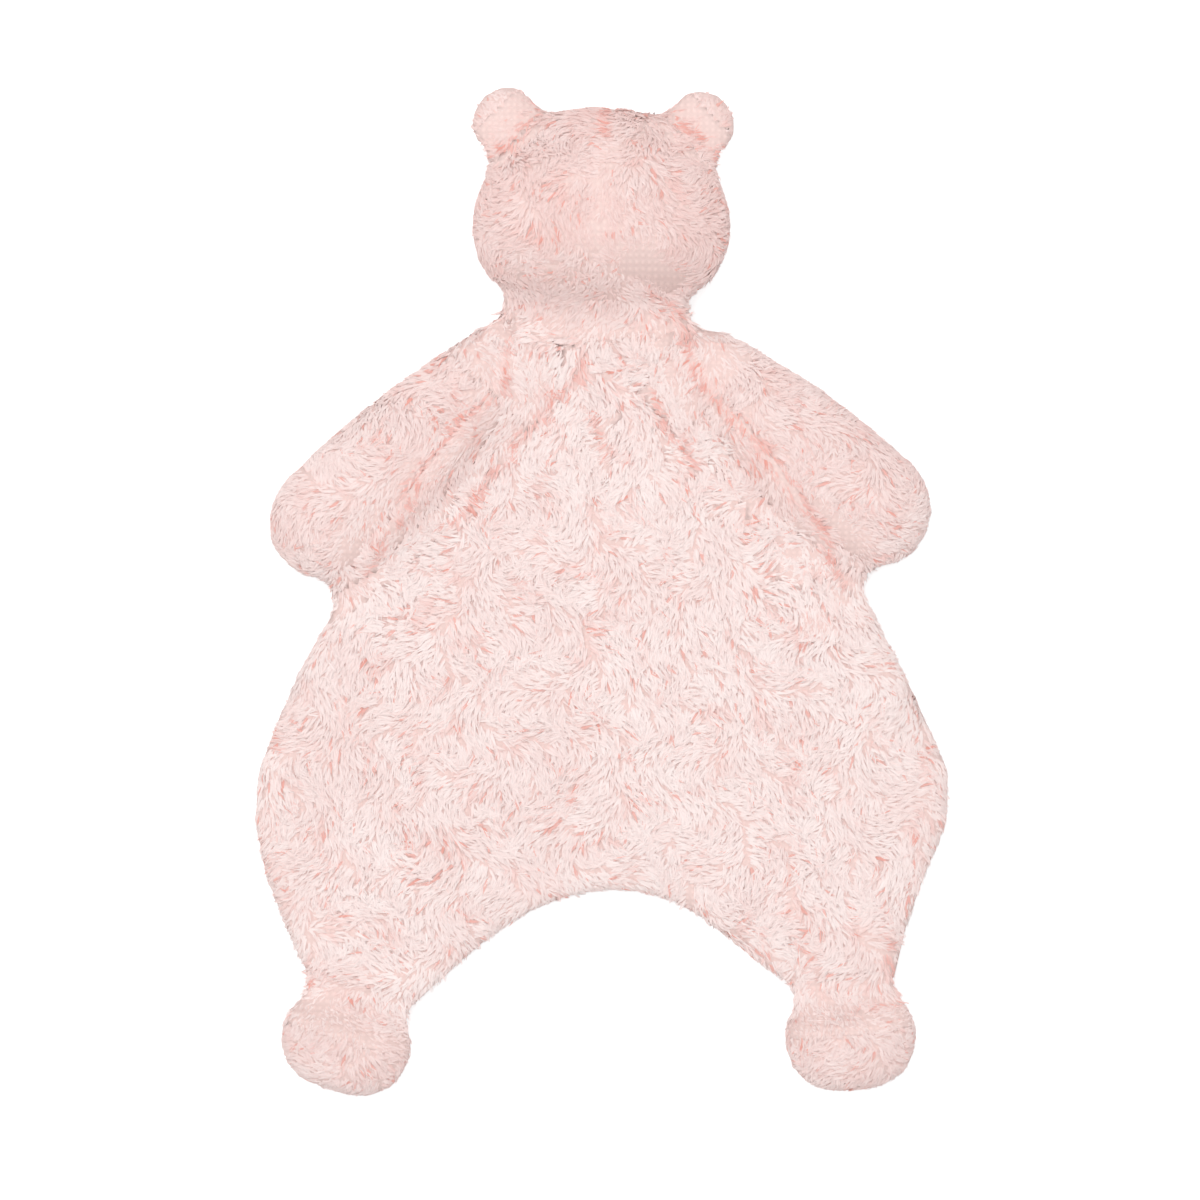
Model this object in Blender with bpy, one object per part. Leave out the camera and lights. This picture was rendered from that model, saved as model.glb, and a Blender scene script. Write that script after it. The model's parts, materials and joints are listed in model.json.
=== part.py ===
"""Comfort blanket lovey: a flat plush bear that lies face down, with its back up.

Metres, +Z up. +Y runs from the feet to the head, and the bear's own left lies towards -X.
The origin is under the middle of the bear, on the surface that it lies on.
Each outer surface is the mean surface of the fur, so a cover's wall is its backing and its pile.

A limb is a loft along its own X axis, which starts on the hinge line at the limb's root.
The root is a half round about that line, so it turns in its seat without touching.
"""
import math

import bmesh
import bpy
import numpy as np
from mathutils import Matrix, Vector

# Clearances and cover thicknesses
SEAT_GAP = 0.0003
HINGE_GAP = 0.0004
ARM_GAP = 0.0012
SEAM_GAP = 0.0011
COVER_WALL = 0.0045
FLOOR_CUT = 0.0005
MERGE_DISTANCE = 0.000002

# Blanket: two plush sheets sewn round the edge
BODY_LENGTH = 0.1905
BODY_HALF_WIDTH = 0.1
NECK_LINE_Y = 0.076
NECK_HALF_WIDTH = 0.0222
NECK_RISE = 0.0085
NECK_SLOPE_LENGTH = 0.036
SHEET_THICKNESS = 0.0052
EDGE_ROUND = 0.0052
FOLD_RISE = 0.0022
FOLD_DEPTH = 0.0026
FOLD_WIDTH = 0.0048
SEAM_THREAD_RADIUS = 0.0003
ANKLE_RISE = 0.004
ANKLE_SLOPE_LENGTH = 0.026

# Head
HEAD_LENGTH = 0.0552
HEAD_HALF_WIDTH = 0.0366
HEAD_HALF_DEPTH = 0.0215
HEAD_TOP_Z = 0.0495
NECK_RADIUS = 0.0062
MUZZLE_HALF_WIDTH = 0.0135
MUZZLE_HALF_LENGTH = 0.0105
MUZZLE_HEIGHT = 0.0075
EYE_RADIUS = 0.0022
EYE_THICKNESS = 0.0016
EYE_SPACING = 0.021
NOSE_HALF_WIDTH = 0.0038
NOSE_HALF_LENGTH = 0.0022
NOSE_THICKNESS = 0.0018

# Ears, arms and feet
EAR_LENGTH = 0.0112
EAR_HALF_WIDTH = 0.0104
EAR_HALF_THICKNESS = 0.0056
EAR_ROOT_RADIUS = 0.0042
EAR_OVER_MIDDLE = 0.0025
ARM_HALF_WIDTH = 0.0166
ARM_HALF_THICKNESS = 0.0135
ARM_ROOT_RADIUS = 0.0066
FOOT_HALF_WIDTH = 0.0191
FOOT_HALF_THICKNESS = 0.0132
FOOT_ROOT_RADIUS = 0.0056
EMPTY_SIZE = 0.01

# Each arm's hinge, out from the neck's corner and down from it, which way the arm points in degrees
# from +X, and its length
ARM_PLACES = {
    "left_arm": dict(side=-1, out=0.0079, drop=0.0076, heading=224.6, length=0.0846),
    "right_arm": dict(side=1, out=0.0094, drop=0.0088, heading=-42.8, length=0.0798),
}

# Each foot's hinge as shares of the half width and of the body's length, its direction and length,
# and the half width of the blanket's edge that it is sewn to
FOOT_PLACES = {
    "left_foot": dict(spot_shares=(-0.706, 1.0273), heading=254.0, length=0.0232, ankle=0.0155),
    "right_foot": dict(spot_shares=(0.703, 1.0157), heading=275.5, length=0.0247, ankle=0.0142),
}
EAR_BEARINGS = {"left_ear": 134.5, "right_ear": 43.5}

# Tips, as shares of the length, but an arm's of its half width, and how far the roots narrow in plan
HEAD_TIP_SHARE = 0.55
EAR_TIP_SHARE = 0.85
ARM_TIP_SHARE = 1.02
FOOT_TIP_SHARE = 0.62
HEAD_ROOT_SHARE = 0.33
EAR_ROOT_SHARE = 0.67
ARM_ROOT_SHARE = 0.8
FOOT_ROOT_SHARE = 0.5
ROOT_TURN_SHARE = 0.9

# Tables along a limb: share of its length, then shares of its half width, half thickness and rise
HEAD_SHARES = (
    (0.0, 0.6, 0.29, 0.0), (0.055, 0.71, 0.55, 0.22), (0.115, 0.85, 0.74, 0.5), (0.2, 0.945, 0.86, 0.8),
    (0.3, 0.985, 0.95, 0.96), (0.42, 1.0, 1.0, 1.0), (0.56, 0.975, 0.995, 1.0), (0.7, 0.925, 0.96, 1.0),
    (0.84, 0.87, 0.9, 1.0), (1.0, 0.82, 0.84, 1.0),
)
ARM_SHARES = (
    (0.0, 0.52, 0.49, 0.0), (0.1, 0.62, 0.62, 0.3), (0.22, 0.78, 0.76, 0.65), (0.38, 0.89, 0.88, 0.9),
    (0.56, 0.97, 0.96, 1.0), (0.75, 1.0, 1.0, 1.0), (1.0, 1.0, 1.0, 1.0),
)
FOOT_SHARES = (
    (0.0, 0.84, 0.425, 0.0), (0.12, 0.93, 0.72, 0.5), (0.26, 1.0, 0.92, 0.85), (0.45, 1.0, 1.0, 1.0),
    (0.7, 0.99, 1.0, 1.0), (1.0, 0.97, 0.98, 1.0),
)
EAR_SHARES = (
    (0.0, 0.93, 0.75, 0.0), (0.25, 1.0, 0.95, 0.0), (0.6, 1.0, 1.0, 0.0), (1.0, 1.0, 1.0, 0.0),
)

# Where the blanket runs beside an arm, as shares of the arm's length, and its two flanks below the
# hands, as shares of the half width and of the body's length
CREASE_SHARES = (0.0, 0.14, 0.28, 0.46, 0.64, 0.8)
LEFT_FLANK_SHARES = (
    (0.784, 0.439), (0.85, 0.5), (0.902, 0.56), (0.957, 0.62), (0.99, 0.68), (0.998, 0.728),
    (0.983, 0.785), (0.952, 0.842), (0.908, 0.9), (0.864, 0.954),
)
RIGHT_FLANK_SHARES = (
    (0.784, 0.439), (0.854, 0.5), (0.903, 0.56), (0.959, 0.62), (1.002, 0.68), (1.006, 0.714),
    (0.968, 0.775), (0.921, 0.834), (0.878, 0.895), (0.834, 0.954),
)
ARCH_SHARES = (
    (-0.463, 0.982), (-0.399, 0.952), (-0.333, 0.922), (-0.249, 0.892), (-0.122, 0.86), (0.0, 0.846),
    (0.1, 0.846), (0.209, 0.864), (0.304, 0.893), (0.37, 0.921), (0.451, 0.953), (0.51, 0.98),
)

# Valleys of the gathered folds: start and end as shares of half width and body length from the neck
FOLD_SHARES = (
    (-0.05, 0.03, -0.19, 0.15), (-0.19, 0.15, -0.31, 0.22), (-0.31, 0.22, -0.43, 0.31),
    (0.01, 0.04, 0.03, 0.24), (0.08, 0.03, 0.17, 0.13), (0.17, 0.13, 0.29, 0.27),
)

# How far down the body the folds reach, and the last stretch, in which they fade
FOLD_END_SHARE = 0.467
FOLD_FADE_SHARE = 0.333

# Rings from the seam's inset to the sheet's rim: how far in, how full, and how much of the folds
EDGE_SHARES = ((1.0, 1.0, 1.0), (0.3, 0.714, 0.5), (0.0, 0.1, 0.0))

# The head's middle, from which the ears' bearings are taken, as a share of its length
HEAD_MIDDLE_SHARE = 0.42

# Where the muzzle, the eyes and the nose lie, as shares of the head's length and of the muzzle's spread
MUZZLE_SHARE = 0.36
EYE_SHARE = 0.6
NOSE_SPREAD_SHARE = 0.93

# Counts: cells round half a limb, and its rings at the root, the middle and the tip
HEAD_CELLS = (14, 2, 7, 5)
EAR_CELLS = (8, 2, 3, 4)
ARM_CELLS = (10, 2, 5, 4)
FOOT_CELLS = (10, 2, 3, 4)
MUZZLE_CELLS = (20, 4)
BUTTON_CELLS = (10, 6)
ACROSS_CELLS = 20
ANKLE_CELLS = 4
DOWN_CELLS = 17
FINE_CELLS = 8
NECK_THREAD_STEP = 3
NECK_CROWDING = 1.3
ROUND_POWER = 2.0
HEAD_POWER = 2.1
FOOT_POWER = 2.5

OBJECT_NAME = "comfort_blanket_lovey"
PLUSH_BACK = (0.930, 0.700, 0.675)
PLUSH_FRONT = (0.910, 0.670, 0.645)
PLUSH_HEAD = (0.880, 0.640, 0.610)
THREAD_PINK = (0.760, 0.420, 0.400)
EYE_BROWN = (0.045, 0.025, 0.018)
NOSE_PINK = (0.420, 0.170, 0.150)
FILLING_WHITE = (0.860, 0.850, 0.820)
PLUSH_ROUGHNESS = 0.95
THREAD_ROUGHNESS = 0.55


def clear_scene():
    for thing in list(bpy.data.objects):
        bpy.data.objects.remove(thing, do_unlink=True)


def finish_material(name, colour, roughness):
    material = bpy.data.materials.new(name)
    material.use_nodes = True
    shader = material.node_tree.nodes["Principled BSDF"]
    shader.inputs["Base Color"].default_value = (*colour, 1.0)
    shader.inputs["Roughness"].default_value = roughness
    shader.inputs["Metallic"].default_value = 0.0
    return material


def add_piece(name, mesh, colour, roughness, carrier=None):
    """A finished mesh as a named object, in its own material, on the empty that carries it."""
    piece = bpy.data.objects.new(name, mesh)
    parts.objects.link(piece)
    piece.parent = carrier
    mesh.materials.append(finish_material(name + "_finish", colour, roughness))
    mesh.shade_smooth()
    return piece


def mesh_from(name, points, faces):
    """A closed mesh from points and faces: doubles merged, faces turned outwards."""
    work = bmesh.new()
    corners = [work.verts.new(point) for point in points]
    for face in faces:
        work.faces.new([corners[k] for k in face])
    bmesh.ops.remove_doubles(work, verts=work.verts, dist=MERGE_DISTANCE)
    bmesh.ops.dissolve_degenerate(work, edges=work.edges, dist=MERGE_DISTANCE)
    bmesh.ops.recalc_face_normals(work, faces=work.faces)
    mesh = bpy.data.meshes.new(name)
    work.to_mesh(mesh)
    work.free()
    return mesh


def grid_faces(numbers):
    """The quads of a grid of point numbers."""
    quads = []
    for j in range(numbers.shape[0] - 1):
        for i in range(numbers.shape[1] - 1):
            quads.append((numbers[j, i], numbers[j, i + 1], numbers[j + 1, i + 1], numbers[j + 1, i]))
    return quads


def thick_sheet(name, outer, inner):
    """A closed solid between two grids of points that have the same rows and columns."""
    rows, columns = outer.shape[:2]
    over = np.arange(rows * columns).reshape(rows, columns)
    under = over + rows * columns
    faces = grid_faces(over) + grid_faces(under)
    for edge in (np.s_[:, 0], np.s_[:, -1], np.s_[0, :], np.s_[-1, :]):
        faces += grid_faces(np.stack([over[edge], under[edge]]))
    points = np.concatenate([outer.reshape(-1, 3), inner.reshape(-1, 3)])
    return mesh_from(name, points, faces)


def smooth_table(shares, x):
    """Cubic curves through a table's columns, with slopes from the neighbouring points."""
    table = np.array(shares)
    at, values = table[:, 0], table[:, 1:]
    slopes = np.gradient(values, at, axis=0)
    k = np.clip(np.searchsorted(at, x, side="right") - 1, 0, len(at) - 2)
    step = at[k + 1] - at[k]
    f = np.clip((x - at[k]) / step, 0, 1)[:, None]
    step = step[:, None]
    rise = values[k + 1] - values[k]
    cubic = 3 * f**2 - 2 * f**3
    bend = f * (1 - f) ** 2 * slopes[k] - f**2 * (1 - f) * slopes[k + 1]
    return values[k] + rise * cubic + bend * step


class Limb:
    """A head, ear, arm or foot: where its hinge is, how it points and how it swells."""

    def __init__(self, at, heading, length, half_width, half_thickness, rise, root, tip, table,
                 cells, root_share, power=ROUND_POWER):
        self.at = Vector(at)
        self.frame = Matrix.Translation(self.at) @ Matrix.Rotation(math.radians(heading), 4, "Z")
        self.length, self.half_width, self.half_thickness = length, half_width, half_thickness
        self.rise, self.root, self.tip, self.table = rise, root, tip, table
        self.around, self.root_rings, self.middle_rings, self.tip_rings = cells
        self.root_share, self.power = root_share, power

    def rings(self, inset=0.0):
        """Place, half width, half thickness and rise of each ring, for a form drawn in by inset.

        The root is part of a circle about the hinge. The tip closes as a superellipse.
        """
        tip_start = self.length - self.tip
        root_turn = np.linspace(math.pi / 2 * ROOT_TURN_SHARE, 0, self.root_rings + 1)[:-1]
        tip_turn = np.linspace(0, math.pi / 2, self.tip_rings + 1)[1:]
        middle = np.linspace(0, tip_start, self.middle_rings + 1)
        power = 2 / self.power
        forward, closing = np.sin(tip_turn) ** power, np.clip(np.cos(tip_turn), 0, 1) ** power
        closing[-1] = 0
        place = np.concatenate([
            -(self.root - inset) * np.sin(root_turn), middle, tip_start + (self.tip - inset) * forward])
        outer_place = np.concatenate([root_turn * 0, middle, tip_start + self.tip * forward])
        wide, thick, rise = smooth_table(self.table, outer_place / self.length).T
        half_width = wide * self.half_width - inset
        half_thickness = thick * self.half_thickness
        half_thickness[:self.root_rings + 1] = self.root
        half_thickness = half_thickness - inset
        plan = np.sqrt(1 - (np.sin(root_turn) * self.root_share) ** 2)
        ones = middle * 0 + 1
        return (place, half_width * np.concatenate([plan, ones, closing]),
                half_thickness * np.concatenate([np.cos(root_turn), ones, closing]), rise * self.rise)

    def points(self, turn, inset=0.0, lift=0.0, floor=None, shift=0.0):
        """Grid of points, rows round the limb and columns along it, moved up by lift.

        Nothing goes below the floor, so the form is flat where it lies on it.
        """
        place, half_width, half_thickness, rise = self.rings(inset)
        turn = turn[:, None]
        across = shift + half_width * np.cos(turn)
        up = rise + lift + half_thickness * np.sin(turn)
        if floor is not None:
            up = np.maximum(up, floor - self.at.z)
        return np.stack([place + 0 * across, across, up], axis=-1)

    def half_width_at(self, along):
        """The half width at places along the limb, in plan."""
        place, half_width = self.rings()[:2]
        return np.interp(along, place, half_width)

    def to_plan(self, along, across):
        """Places along and across the limb, as x and y on the ground."""
        spot = self.frame @ Vector((along, across, 0))
        return spot.x, spot.y


def shell_panel(name, limb, start, end, colour, carrier, shift=0.0, wall=COVER_WALL):
    """One panel of a limb's cover, from one turn round it to another, with flat seam edges."""
    turn = np.linspace(start, end, round(limb.around * (end - start) / math.pi) + 1)
    side = 1 if start + end > 0 else -1
    outer = limb.points(turn, 0, side * SEAT_GAP / 2, 0.0, shift)
    inner = limb.points(turn, wall, side * SEAT_GAP / 2, wall, shift)
    return add_piece(name, thick_sheet(name, outer, inner), colour, PLUSH_ROUGHNESS, carrier)


def stuffing(name, limb, carrier):
    """The filling inside a cover: the same form drawn in by the cover's wall and a gap."""
    depth = COVER_WALL + SEAT_GAP
    turn = np.linspace(0, 2 * math.pi, 2 * limb.around + 1)[:-1]
    grid = limb.points(turn, depth, 0, depth)
    keep = np.flatnonzero(limb.rings(depth)[2] > SEAT_GAP)
    grid = grid[:, keep[0]:]
    rows, columns = grid.shape[:2]
    numbers = np.arange(rows * columns).reshape(rows, columns)
    faces = grid_faces(np.concatenate([numbers, numbers[:1]])) + [tuple(numbers[:, 0])]
    mesh = mesh_from(name, grid.reshape(-1, 3), faces)
    return add_piece(name, mesh, FILLING_WHITE, PLUSH_ROUGHNESS, carrier)


def joint_empty(name, limb, holder=None, holder_empty=None):
    """An empty at a limb's hinge: X along the limb, Y along the hinge line."""
    empty = bpy.data.objects.new(name + "_joint", None)
    empty.empty_display_size = EMPTY_SIZE
    parts.objects.link(empty)
    empty.parent = holder_empty
    empty.matrix_basis = holder.frame.inverted() @ limb.frame if holder else limb.frame
    axis = limb.frame.to_3x3() @ Vector((0, 1, 0))
    print("hinge", name, [round(v, 5) for v in limb.at], [round(v, 5) for v in axis])
    return empty


def head_limb():
    neck_z = SHEET_THICKNESS + SEAM_GAP / 2 + NECK_RISE
    hinge_y = NECK_LINE_Y + HINGE_GAP + NECK_RADIUS
    return Limb((0, hinge_y, neck_z), 90, HEAD_LENGTH, HEAD_HALF_WIDTH, HEAD_HALF_DEPTH,
                HEAD_TOP_Z - HEAD_HALF_DEPTH - neck_z, NECK_RADIUS, HEAD_LENGTH * HEAD_TIP_SHARE,
                HEAD_SHARES, HEAD_CELLS, HEAD_ROOT_SHARE, HEAD_POWER)


def ear_limb(name, head):
    """An ear stands on the head's outline, where a line at its bearing from the middle leaves it."""
    place, half_width, half_thickness, rise = head.rings()
    ear_z = HEAD_TOP_Z - HEAD_HALF_DEPTH + EAR_OVER_MIDDLE
    off = (ear_z - head.at.z - rise) / np.maximum(half_thickness, SEAT_GAP)
    level = half_width * np.sqrt(np.clip(1 - off**2, 0, 1))
    middle = HEAD_MIDDLE_SHARE * head.length
    beyond = place - middle
    bearing = math.radians(EAR_BEARINGS[name])
    turned = math.asin(math.sin(bearing))
    reach = np.interp(turned, np.arctan2(beyond, level)[1:-1], np.hypot(beyond, level)[1:-1])
    reach += EAR_ROOT_RADIUS + HINGE_GAP
    at = (reach * math.cos(bearing), head.at.y + middle + reach * math.sin(bearing), ear_z)
    return Limb(at, EAR_BEARINGS[name], EAR_LENGTH, EAR_HALF_WIDTH, EAR_HALF_THICKNESS, 0,
                EAR_ROOT_RADIUS, EAR_LENGTH * EAR_TIP_SHARE, EAR_SHARES, EAR_CELLS, EAR_ROOT_SHARE)


def arm_limb(name):
    place = ARM_PLACES[name]
    share = place["drop"] / NECK_SLOPE_LENGTH
    root_z = SHEET_THICKNESS + SEAM_GAP / 2 + NECK_RISE * slope_share(1 - share)
    at = (place["side"] * (NECK_HALF_WIDTH + place["out"]), NECK_LINE_Y - place["drop"], root_z)
    return Limb(at, place["heading"], place["length"], ARM_HALF_WIDTH, ARM_HALF_THICKNESS,
                ARM_HALF_THICKNESS - FLOOR_CUT - root_z, ARM_ROOT_RADIUS,
                ARM_HALF_WIDTH * ARM_TIP_SHARE, ARM_SHARES, ARM_CELLS, ARM_ROOT_SHARE)


def foot_limb(name):
    place = FOOT_PLACES[name]
    root_z = SHEET_THICKNESS + SEAM_GAP / 2 + ANKLE_RISE
    at = (*body_spot(*place["spot_shares"]), root_z)
    return Limb(at, place["heading"], place["length"], FOOT_HALF_WIDTH, FOOT_HALF_THICKNESS,
                FOOT_HALF_THICKNESS - FLOOR_CUT - root_z, FOOT_ROOT_RADIUS,
                place["length"] * FOOT_TIP_SHARE, FOOT_SHARES, FOOT_CELLS, FOOT_ROOT_SHARE, FOOT_POWER)


def slope_share(x):
    """Smooth rise from 0 to 1 as x goes from 0 to 1."""
    x = np.clip(x, 0, 1)
    return x * x * (3 - 2 * x)


def through(points, cells, crowding=1.0):
    """A smooth curve through points, in steps that start shorter the higher the crowding is."""
    points = np.array(points, dtype=float)
    run = np.concatenate([[0], np.cumsum(np.hypot(*np.diff(points, axis=0).T))])
    table = np.column_stack([run, points])
    fine = smooth_table(table, np.linspace(0, run[-1], cells * FINE_CELLS + 1))
    length = np.concatenate([[0], np.cumsum(np.hypot(*np.diff(fine, axis=0).T))])
    at = length[-1] * np.linspace(0, 1, cells + 1) ** crowding
    return np.column_stack([np.interp(at, length, fine[:, 0]), np.interp(at, length, fine[:, 1])])


def body_spot(share_x, share_y):
    return share_x * BODY_HALF_WIDTH, NECK_LINE_Y - share_y * BODY_LENGTH


def ankle_corners(name, foot):
    """The two ends of the blanket's straight edge at a foot, outer end first."""
    half = FOOT_PLACES[name]["ankle"]
    back = -(FOOT_ROOT_RADIUS + HINGE_GAP)
    ends = [foot.to_plan(back, half), foot.to_plan(back, -half)]
    return sorted(ends, key=lambda end: -abs(end[0]))


def blanket_side(arm, inner, flank, corner, side):
    """One side of the blanket, from the neck round the shoulder and along the arm to the ankle."""
    back = -(ARM_ROOT_RADIUS + HINGE_GAP)
    points = [(side * NECK_HALF_WIDTH, NECK_LINE_Y)]
    points.append(arm.to_plan(back, inner * ARM_ROOT_RADIUS))
    for share in CREASE_SHARES:
        along = share * arm.length
        points.append(arm.to_plan(along, inner * (arm.half_width_at(along) + ARM_GAP)))
    points += [body_spot(side * x, y) for x, y in flank]
    points.append(corner)
    return through(points, DOWN_CELLS, NECK_CROWDING)


def inset_loop(loop, depth):
    """The blanket's outline moved inwards by depth, with each corner mitred.

    The straight edges at the neck and the ankles are stepped evenly again, so that no step turns back.
    """
    ahead = np.roll(loop, -1, axis=0) - loop
    ahead /= np.hypot(*ahead.T)[:, None]
    inward = np.column_stack([-ahead[:, 1], ahead[:, 0]])
    before = np.roll(inward, 1, axis=0)
    moved = loop + depth * (inward + before) / (1 + (inward * before).sum(1))[:, None]
    moved = np.concatenate([moved, moved[:1]])
    ankle, right = DOWN_CELLS, DOWN_CELLS + ACROSS_CELLS
    for start, cells in ((ankle, ANKLE_CELLS), (right - ANKLE_CELLS, ANKLE_CELLS),
                         (right + DOWN_CELLS, ACROSS_CELLS)):
        moved[start:start + cells + 1] = np.linspace(moved[start], moved[start + cells], cells + 1)
    return moved[:-1]


def coons_patch(left, right, top, bottom):
    """The grid between four edge curves, rows from the top down."""
    t = np.linspace(0, 1, len(left))[:, None, None]
    s = np.linspace(0, 1, len(top))[None, :, None]
    sides = (1 - s) * left[:, None] + s * right[:, None]
    ends = (1 - t) * top[None] + t * bottom[None]
    corners = ((1 - s) * (1 - t) * top[0] + s * (1 - t) * top[-1]
               + (1 - s) * t * bottom[0] + s * t * bottom[-1])
    return sides + ends - corners


def under_rise(spots, feet):
    """How far the blanket's underside stands over the ground: it climbs to the neck and ankles."""
    rise = NECK_RISE * slope_share(1 - (NECK_LINE_Y - spots[..., 1]) / NECK_SLOPE_LENGTH)
    for foot in feet:
        away = np.hypot(spots[..., 0] - foot.at.x, spots[..., 1] - foot.at.y) - foot.root
        flat = FOOT_HALF_WIDTH - foot.root
        rise = np.maximum(rise, ANKLE_RISE * slope_share(1 - (away - flat) / ANKLE_SLOPE_LENGTH))
    return rise


def fold_rise(spots):
    """Height of the gathered back over the flat sheet: a swell with valleys that leave the neck."""
    down = (NECK_LINE_Y - spots[..., 1]) / BODY_LENGTH
    swell = FOLD_RISE * slope_share(1 - down)
    for share in FOLD_SHARES:
        a, b = np.array(body_spot(*share[:2])), np.array(body_spot(*share[2:]))
        along = np.clip(((spots - a) @ (b - a)) / ((b - a) @ (b - a)), 0, 1)
        away = np.linalg.norm(spots - (a + along[..., None] * (b - a)), axis=-1)
        fade = slope_share((FOLD_END_SHARE - down) / FOLD_FADE_SHARE)
        swell = swell - FOLD_DEPTH * np.exp(-(away / FOLD_WIDTH) ** 2) * fade
    return np.maximum(swell, 0)


def blanket_outline(limbs):
    """The blanket's outline as a closed loop: down the left side, along the bottom, up the right."""
    corners = {name: ankle_corners(name, limbs[name]) for name in ("left_foot", "right_foot")}
    left = blanket_side(limbs["left_arm"], 1, LEFT_FLANK_SHARES, corners["left_foot"][0], -1)
    right = blanket_side(limbs["right_arm"], -1, RIGHT_FLANK_SHARES, corners["right_foot"][0], 1)
    top = np.linspace(left[0], right[0], ACROSS_CELLS + 1)
    arch = [corners["left_foot"][1], *[body_spot(*share) for share in ARCH_SHARES],
            corners["right_foot"][1]]
    bottom = np.concatenate([
        np.linspace(*corners["left_foot"], ANKLE_CELLS + 1)[:-1],
        through(arch, ACROSS_CELLS - 2 * ANKLE_CELLS),
        np.linspace(*corners["right_foot"][::-1], ANKLE_CELLS + 1)[1:]])
    return np.concatenate([left[:-1], bottom[:-1], right[::-1][:-1], top[::-1][:-1]])


def loop_edges(loop):
    """The left, bottom, right and top edges of a loop of the blanket."""
    a, b = DOWN_CELLS, DOWN_CELLS + ACROSS_CELLS
    left, bottom = loop[:a + 1], loop[a:b + 1]
    right = loop[b:b + DOWN_CELLS + 1][::-1]
    top = np.concatenate([loop[b + DOWN_CELLS:], loop[:1]])[::-1]
    return left, bottom, right, top


def blanket_panel(name, loop, feet, side, colour):
    """One plush sheet: flat at the seam, with a rounded edge, folded if it is the upper one.

    Its outer face is a patch inside the edge and rings that round down to the seam.
    """
    left, bottom, right, top = loop_edges(inset_loop(loop, EDGE_ROUND))
    patch = coons_patch(left, right, top, bottom)

    def seam_height(spots):
        return under_rise(spots, feet) + SHEET_THICKNESS + SEAM_GAP / 2

    def folded(spots, share):
        return fold_rise(spots) * share if side > 0 else 0 * spots[..., 0]

    def outer(spots, full, share):
        height = seam_height(spots) + side * (SEAM_GAP / 2 + SHEET_THICKNESS * full)
        return height + folded(spots, share)

    def inner(spots, share):
        return seam_height(spots) + side * SEAM_GAP / 2 + folded(spots, share)

    rows, columns = patch.shape[:2]
    count = len(loop)
    numbers = np.arange(rows * columns).reshape(rows, columns)
    edge = np.concatenate([numbers[:-1, 0], numbers[-1, :-1], numbers[::-1][:-1, -1],
                           numbers[0, ::-1][:-1]])
    points = [np.dstack([patch, outer(patch, *EDGE_SHARES[0][1:])]).reshape(-1, 3)]
    faces = grid_faces(numbers)
    total = rows * columns
    before = edge
    for share, full, fold in EDGE_SHARES[1:]:
        ring = inset_loop(loop, EDGE_ROUND * share)
        points.append(np.column_stack([ring, outer(ring, full, fold)]))
        here = total + np.arange(count)
        faces += grid_faces(np.stack([np.append(before, before[0]), np.append(here, here[0])]))
        before, total = here, total + count
    points.append(np.column_stack([loop, inner(loop, 0.0)]))
    here = total + np.arange(count)
    faces += grid_faces(np.stack([np.append(before, before[0]), np.append(here, here[0])]))
    total += count
    points.append(np.dstack([patch, inner(patch, 1.0)]).reshape(-1, 3))
    faces += grid_faces(numbers + total)
    faces += grid_faces(np.stack([np.append(here, here[0]), np.append(edge, edge[0]) + total]))
    mesh = mesh_from(name, np.concatenate(points), faces)
    return add_piece(name, mesh, colour, PLUSH_ROUGHNESS)


def seam_thread(name, spots, feet):
    """A run of sewing thread between the two sheets, on the seam line."""
    heights = under_rise(spots, feet) + SHEET_THICKNESS + SEAM_GAP / 2
    curve = bpy.data.curves.new(name, "CURVE")
    curve.dimensions = "3D"
    curve.bevel_depth = SEAM_THREAD_RADIUS
    curve.bevel_resolution = 1
    curve.use_fill_caps = True
    spline = curve.splines.new("POLY")
    spline.points.add(len(spots) - 1)
    for point, (x, y), z in zip(spline.points, spots, heights):
        point.co = (x, y, z, 1)
    guide = bpy.data.objects.new(name + "_route", curve)
    parts.objects.link(guide)
    mesh = bpy.data.meshes.new_from_object(guide.evaluated_get(bpy.context.evaluated_depsgraph_get()))
    bpy.data.objects.remove(guide, do_unlink=True)
    work = bmesh.new()
    work.from_mesh(mesh)
    bmesh.ops.remove_doubles(work, verts=work.verts, dist=MERGE_DISTANCE)
    bmesh.ops.recalc_face_normals(work, faces=work.faces)
    work.to_mesh(mesh)
    work.free()
    return add_piece(name, mesh, THREAD_PINK, THREAD_ROUGHNESS)


def face_spot(head, along, across):
    """A point on the face's outer surface, in the head's frame, and the way out of the surface."""
    def drop(d, y):
        place, half_width, half_thickness, rise = head.rings()
        wide, thick, up = (np.interp(d, place, v) for v in (half_width, half_thickness, rise))
        return up - SEAT_GAP / 2 - thick * np.sqrt(np.clip(1 - (y / wide) ** 2, 0, 1))

    nudge = EYE_RADIUS / 2
    slope_d = (drop(along + nudge, across) - drop(along - nudge, across)) / (2 * nudge)
    slope_y = (drop(along, across + nudge) - drop(along, across - nudge)) / (2 * nudge)
    spot = np.stack(np.broadcast_arrays(along, across, drop(along, across)), axis=-1)
    out = np.stack(np.broadcast_arrays(slope_d, slope_y, -1.0), axis=-1)
    return spot, out / np.linalg.norm(out, axis=-1, keepdims=True)


def muzzle_points(head, spread, turn):
    """The muzzle's seat on the face and its crown, at shares of its spread from the middle."""
    along = MUZZLE_SHARE * head.length + MUZZLE_HALF_LENGTH * spread * np.sin(turn)
    across = MUZZLE_HALF_WIDTH * spread * np.cos(turn)
    spot, out = face_spot(head, along, across)
    seat = spot + out * SEAT_GAP
    edge = SEAT_GAP * 2
    tall = edge + (MUZZLE_HEIGHT - edge) * np.sqrt(1 - spread**2)
    crown = seat + np.stack([0 * tall, 0 * tall, -tall], axis=-1)
    crown[..., 2] = np.maximum(crown[..., 2], -head.at.z)
    return seat, crown


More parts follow.
